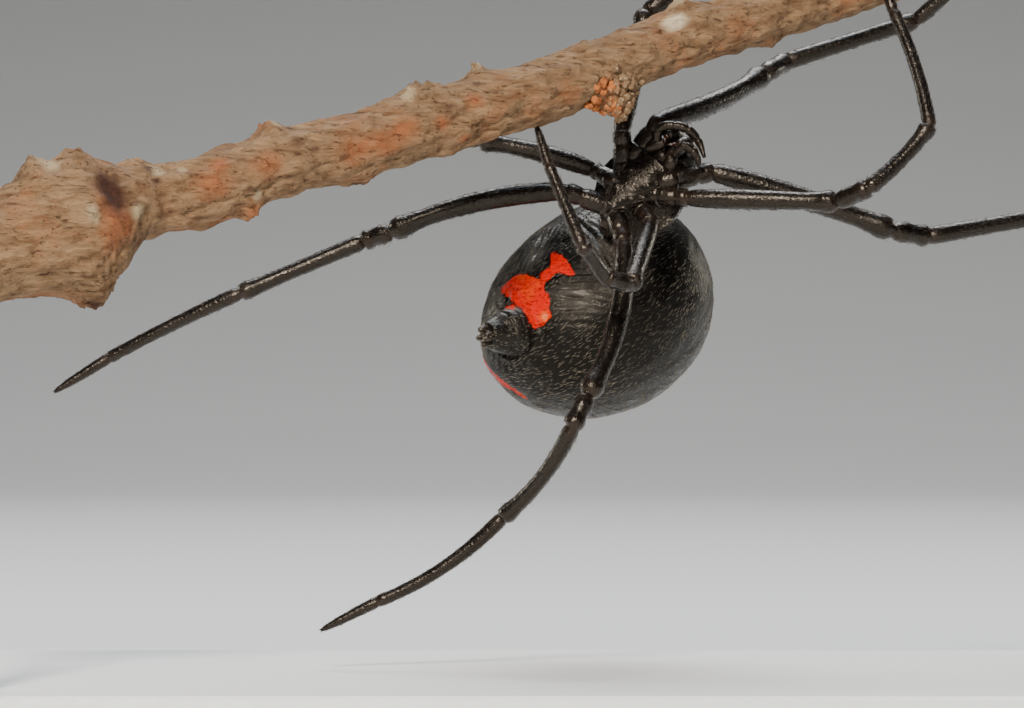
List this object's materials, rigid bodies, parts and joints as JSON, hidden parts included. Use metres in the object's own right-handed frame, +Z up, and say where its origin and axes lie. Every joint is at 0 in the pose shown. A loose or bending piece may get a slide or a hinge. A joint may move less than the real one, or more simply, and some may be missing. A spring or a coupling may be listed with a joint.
{
  "type": "black widow spider",
  "caption": "Life-size female black widow spider hanging belly outwards under a cut length of branch, held by a plain flat display stand.",
  "frame": {"origin": "middle of the underside of the display stand's base", "axes": "+Z up, +X to the right along the base and the branch's run, +Y away from the viewer who looks at the spider's belly"},
  "size_m": [0.0479, 0.025, 0.0308],
  "materials": {
    "black_cuticle": "glossy black cuticle",
    "abdomen_cuticle": "satin black skin with a scarlet hourglass",
    "eye": "clear gloss",
    "fang": "dark red-brown gloss",
    "bark": "rough tan bark",
    "stand_paint": "satin off-white",
    "stand_steel": "brushed"
  },
  "bodies": {
    "root": {"abdomen": "abdomen_cuticle", "branch": "bark", "cephalothorax": "black_cuticle", "chelicera_left": "black_cuticle", "chelicera_right": "black_cuticle", "eye_back_middle_left": "eye", "eye_back_middle_right": "eye", "eye_back_side_left": "eye", "eye_back_side_right": "eye", "eye_front_middle_left": "eye", "eye_front_middle_right": "eye", "eye_front_side_left": "eye", "eye_front_side_right": "eye", "fang_left": "fang", "fang_right": "fang", "leg_left_1_femur": "black_cuticle", "leg_left_1_foot": "black_cuticle", "leg_left_1_hip": "black_cuticle", "leg_left_1_tibia": "black_cuticle", "leg_left_2_femur": "black_cuticle", "leg_left_2_foot": "black_cuticle", "leg_left_2_hip": "black_cuticle", "leg_left_2_tibia": "black_cuticle", "leg_left_3_femur": "black_cuticle", "leg_left_3_foot": "black_cuticle", "leg_left_3_hip": "black_cuticle", "leg_left_3_tibia": "black_cuticle", "leg_left_4_femur": "black_cuticle", "leg_left_4_foot": "black_cuticle", "leg_left_4_hip": "black_cuticle", "leg_left_4_tibia": "black_cuticle", "leg_right_1_femur": "black_cuticle", "leg_right_1_foot": "black_cuticle", "leg_right_1_hip": "black_cuticle", "leg_right_1_tibia": "black_cuticle", "leg_right_2_femur": "black_cuticle", "leg_right_2_foot": "black_cuticle", "leg_right_2_hip": "black_cuticle", "leg_right_2_tibia": "black_cuticle", "leg_right_3_femur": "black_cuticle", "leg_right_3_foot": "black_cuticle", "leg_right_3_hip": "black_cuticle", "leg_right_3_tibia": "black_cuticle", "leg_right_4_femur": "black_cuticle", "leg_right_4_foot": "black_cuticle", "leg_right_4_hip": "black_cuticle", "leg_right_4_tibia": "black_cuticle", "pedicel": "black_cuticle", "pedipalp_left": "black_cuticle", "pedipalp_right": "black_cuticle", "spinnerets": "black_cuticle", "stand_base": "stand_paint", "stand_rod_left": "stand_steel", "stand_rod_right": "stand_steel"}
  },
  "joints": []
}
